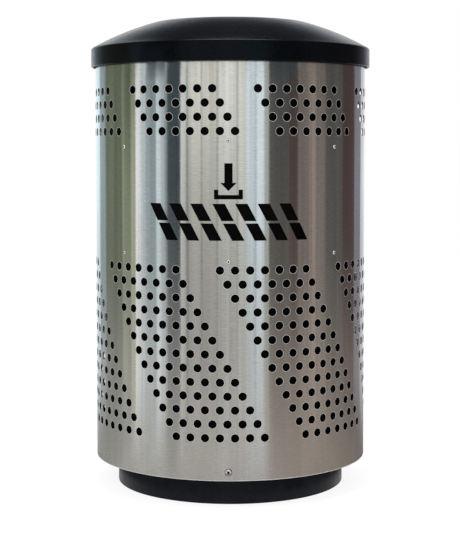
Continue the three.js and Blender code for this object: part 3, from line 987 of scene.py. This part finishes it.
def painted(paint, share, light, low_part=0, middle_part=0):
    """The colour, at each angle, of a paint that covers this share of a ground of this lightness."""

    def colour_at(angle):
        low_light, middle_light = at_angle(RING_LIGHT, angle)
        level = 1 + low_part * (low_light - 1) + middle_part * (middle_light - 1)
        mixed = blend([c * light for c in at_angle(GROUND, angle)], paint, share)
        return [c * level for c in mixed]

    return colour_at


class Strips:
    """Painted faces round the set, with a colour at each of their corners."""

    def __init__(self):
        self.points = []
        self.faces = []
        self.colours = []

    def add(self, a, b, rows):
        """Faces between two angles along rows of (radius, height, colour at an angle)."""
        for lower, upper in zip(rows, rows[1:]):
            first = len(self.points)
            self.faces.append(range(first, first + 4))
            for angle, (radius, height, colour_at) in ((a, lower), (b, lower), (b, upper), (a, upper)):
                place = outward(math.radians(angle)) * radius + Vector((0, 0, height))
                self.points.append(place)
                self.colours.append((*(c / STEEL_SHARE for c in colour_at(angle)), 1))

    def mesh(self, name):
        mesh = bpy.data.meshes.new(name)
        mesh.from_pydata(self.points, [], self.faces)
        coats = mesh.color_attributes.new("paint", "FLOAT_COLOR", "CORNER")
        for loop in mesh.loops:
            coats.data[loop.index].color = self.colours[loop.vertex_index]
        return mesh


def glowing_paint():
    """The panels' paint as light, uneven in upright lines and wide patches."""
    material, nodes = empty_material("panels")
    place = nodes.add("ShaderNodeTexCoord").outputs["Object"]
    tall = nodes.add("ShaderNodeMapping", {"Vector": place, "Scale": (1, 1, 0.04)}).outputs[0]
    lines = nodes.remap(nodes.noise(tall, 34.0, 2.0, 0.6), 0.78, 1.22)
    patches = nodes.remap(nodes.noise(tall, 9.0, 2.0), 0.88, 1.12)
    values = {
        "Color": nodes.add("ShaderNodeVertexColor", layer_name="paint").outputs["Color"],
        "Strength": nodes.math("MULTIPLY", lines, patches),
    }
    glow = nodes.add("ShaderNodeEmission", values)
    nodes.add("ShaderNodeOutputMaterial", {"Surface": glow.outputs[0]})
    return material


def add_panels(strips):
    """The painted panels, each with the ground in front of it."""
    start = PANELS_START
    for end, paint in PANELS:
        rows = []
        for reach, light in NEAR_GROUND:
            rows.append((SHELL_RADIUS + reach, GROUND_HEIGHT, painted(PAINTS[paint], 0, light)))
        darkened = any(a < start and end <= b for a, b in DARK_WEDGES)
        for z, *look in PANEL_ROWS:
            shown = PAINTS["night" if darkened and z > DARK_WEDGE_BOTTOM else paint]
            rows.append((PANEL_RING, max(z, GROUND_HEIGHT), painted(shown, *look)))
        steps = max(1, round((end - start) / PANEL_STEP))
        for i in range(steps):
            strips.add(*(start + (end - start) * (i + k) / steps for k in (0, 1)), rows)
        start = end


def add_canopy(strips):
    """The dark canopy over the panels, closed at its top."""
    for a in range(-180, 180, CANOPY_STEP):
        behind = abs(a + CANOPY_STEP / 2) > PANELS[-1][0]
        rows = []
        for z, paint in CANOPY_BEHIND if behind else CANOPY:
            rows.append((PANEL_RING, z, painted(paint, 1, 1)))
        strips.add(a, a + CANOPY_STEP, rows + [(CANOPY_MIDDLE, *rows[-1][1:])])


def panel_ring():
    strips = Strips()
    add_panels(strips)
    add_canopy(strips)
    mesh = strips.mesh("panels")
    mesh.materials.append(glowing_paint())
    ring = new_object("panels", mesh)
    ring.visible_camera = False
    ring.visible_diffuse = False
    ring.visible_transmission = False
    ring.visible_volume_scatter = False
    ring.visible_shadow = False


# ---------------------------------------------------------------- studio

FLOOR_REACH = 20
FLOOR_DROP = 0.5 * MM  # the floor lies this much under the plinth
FLOOR_GLOW = 1.08
FLOOR_GLOW_SHARE = 0.8  # of the floor's look, where the camera or the steel sees it
SOFT_LIGHT = 0.75
LAMP_SIZE = 1.6


def seen_or_mirrored(nodes):
    """1 for rays from the camera and for mirrored or refracted ones."""
    path = nodes.add("ShaderNodeLightPath").outputs
    seen = nodes.math("MAXIMUM", path["Is Camera Ray"], path["Is Glossy Ray"])
    return nodes.math("MAXIMUM", seen, path["Is Transmission Ray"])


def floor():
    mesh = bmesh.new()
    bmesh.ops.create_grid(mesh, x_segments=1, y_segments=1, size=FLOOR_REACH)
    data = bpy.data.meshes.new("floor")
    mesh.to_mesh(data)
    mesh.free()
    material, nodes = empty_material("floor")
    matt = nodes.add("ShaderNodeBsdfDiffuse", {"Color": (0.92, 0.92, 0.92, 1)}).outputs[0]
    white = {"Color": (1, 1, 1, 1), "Strength": FLOOR_GLOW}
    glow = nodes.add("ShaderNodeEmission", white).outputs[0]
    share = nodes.math("MULTIPLY", seen_or_mirrored(nodes), FLOOR_GLOW_SHARE)
    mixed = nodes.add("ShaderNodeMixShader", {0: share, 1: matt, 2: glow}).outputs[0]
    nodes.add("ShaderNodeOutputMaterial", {"Surface": mixed})
    data.materials.append(material)
    piece = new_object("floor", data)
    piece.location.z = -FLOOR_DROP


def world():
    """White where it is seen or mirrored, and a plain soft light on everything else."""
    made = bpy.data.worlds.new("studio")
    bpy.context.scene.world = made
    made.use_nodes = True
    nodes = Nodes(made.node_tree)
    lights = []
    for strength in (SOFT_LIGHT, 1.0):
        values = {"Color": (1, 1, 1, 1), "Strength": strength}
        lights.append(nodes.add("ShaderNodeBackground", values).outputs[0])
    soft, white = lights
    mixed = nodes.add("ShaderNodeMixShader", {0: seen_or_mirrored(nodes), 1: soft, 2: white})
    nodes.add("ShaderNodeOutputWorld", {"Surface": mixed.outputs[0]})


def lamp(name, place, aim_height, power, mirrored=False):
    """A round lamp that looks at the axis at a height."""
    data = bpy.data.lights.new(name, "AREA")
    data.shape = "DISK"
    data.size = LAMP_SIZE
    data.energy = power
    piece = new_object(name, data)
    piece.location = place
    aim = Vector((0, 0, aim_height)) - Vector(place)
    piece.rotation_euler = aim.to_track_quat("-Z", "Y").to_euler()
    piece.visible_glossy = mirrored


# The camera stands a little to the right and looks slightly down.
CAMERA_ANGLE = math.radians(0.721)
CAMERA_DISTANCE = 3.1888
CAMERA_HEIGHT = 0.7617
CAMERA_TURN = math.radians(0.734)
CAMERA_PITCH = math.radians(3.253)
LENS = 94.46
SENSOR = 36
SHIFT = -0.0785


def camera():
    data = bpy.data.cameras.new("camera")
    data.lens = LENS
    data.sensor_width = SENSOR
    data.shift_y = SHIFT
    piece = new_object("camera", data)
    piece.location = outward(CAMERA_ANGLE) * CAMERA_DISTANCE + Vector((0, 0, CAMERA_HEIGHT))
    piece.rotation_euler = (QUARTER - CAMERA_PITCH, 0, CAMERA_TURN)
    bpy.context.scene.camera = piece


panel_ring()
floor()
world()
lamp("key", (-1.6, -2.2, 2.8), 0.6, 45)
lamp("fill", (2.2, -1.6, 2.2), 0.5, 25)
lamp("top", (0.0, 0.1, 3.2), 0.9, 25, mirrored=True)
camera()
bpy.context.scene.view_settings.view_transform = "Standard"
